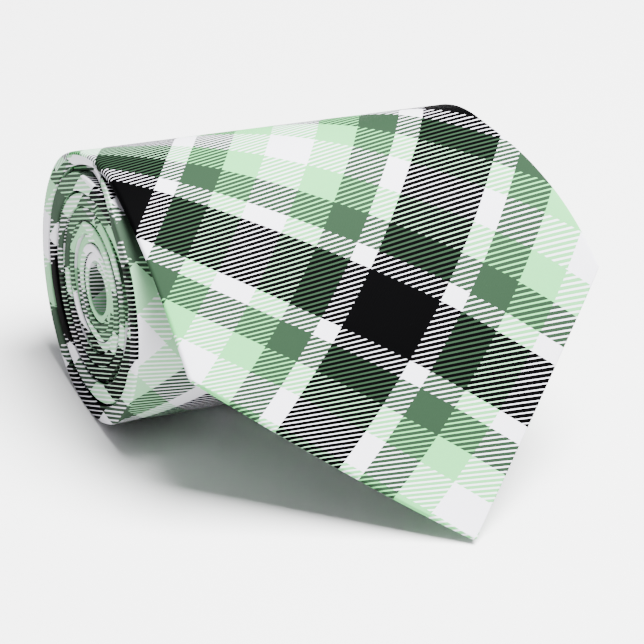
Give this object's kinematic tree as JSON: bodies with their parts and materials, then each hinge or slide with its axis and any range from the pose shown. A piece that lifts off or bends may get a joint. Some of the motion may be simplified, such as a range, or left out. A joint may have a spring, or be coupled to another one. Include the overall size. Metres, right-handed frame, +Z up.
{
  "type": "necktie",
  "caption": "Wide printed plaid necktie rolled up from its narrow end, the pointed blade end falling off the roll onto the table; the loose end lifts and peels back.",
  "frame": {"origin": "under the middle of the object's box, on the surface it lies on", "axes": "+X along the roll's axis towards its hollow end, -Y towards the loose pointed end, +Z up"},
  "size_m": [0.1106, 0.112, 0.0655],
  "materials": {
    "printed_cloth": "smooth woven polyester with a printed plaid, soft sheen",
    "interlining": "matt brushed interlining",
    "lining": "thin smooth satin lining",
    "thread": "matt sewing thread"
  },
  "bodies": {
    "roll": {"blade_shell_roll": "printed_cloth", "neck_shell": "printed_cloth", "tail_shell": "printed_cloth", "blade_interlining": "interlining", "neck_interlining": "interlining", "tail_interlining": "interlining", "tail_tipping": "lining", "slip_stitch_roll": "thread", "keeper_loop": "printed_cloth", "bar_tack_tail": "thread"},
    "outer_wrap": {"wrap_shell": "printed_cloth", "wrap_interlining": "interlining", "slip_stitch_wrap": "thread", "bar_tack_blade": "thread"},
    "loose_end": {"end_shell": "printed_cloth", "end_interlining": "interlining", "end_tipping": "lining"}
  },
  "joints": [
    {"name": "wrap_peel", "type": "hinge", "parent": "roll", "child": "outer_wrap", "pos_m": [-0.00438, 0.05602, 0.032], "axis": [-1, 0, 0], "range_deg": [0, 60]},
    {"name": "end_lift", "type": "hinge", "parent": "outer_wrap", "child": "loose_end", "pos_m": [-0.00438, 0.02252, 0.0655], "axis": [-1, 0, 0], "range_deg": [0, 75]}
  ]
}
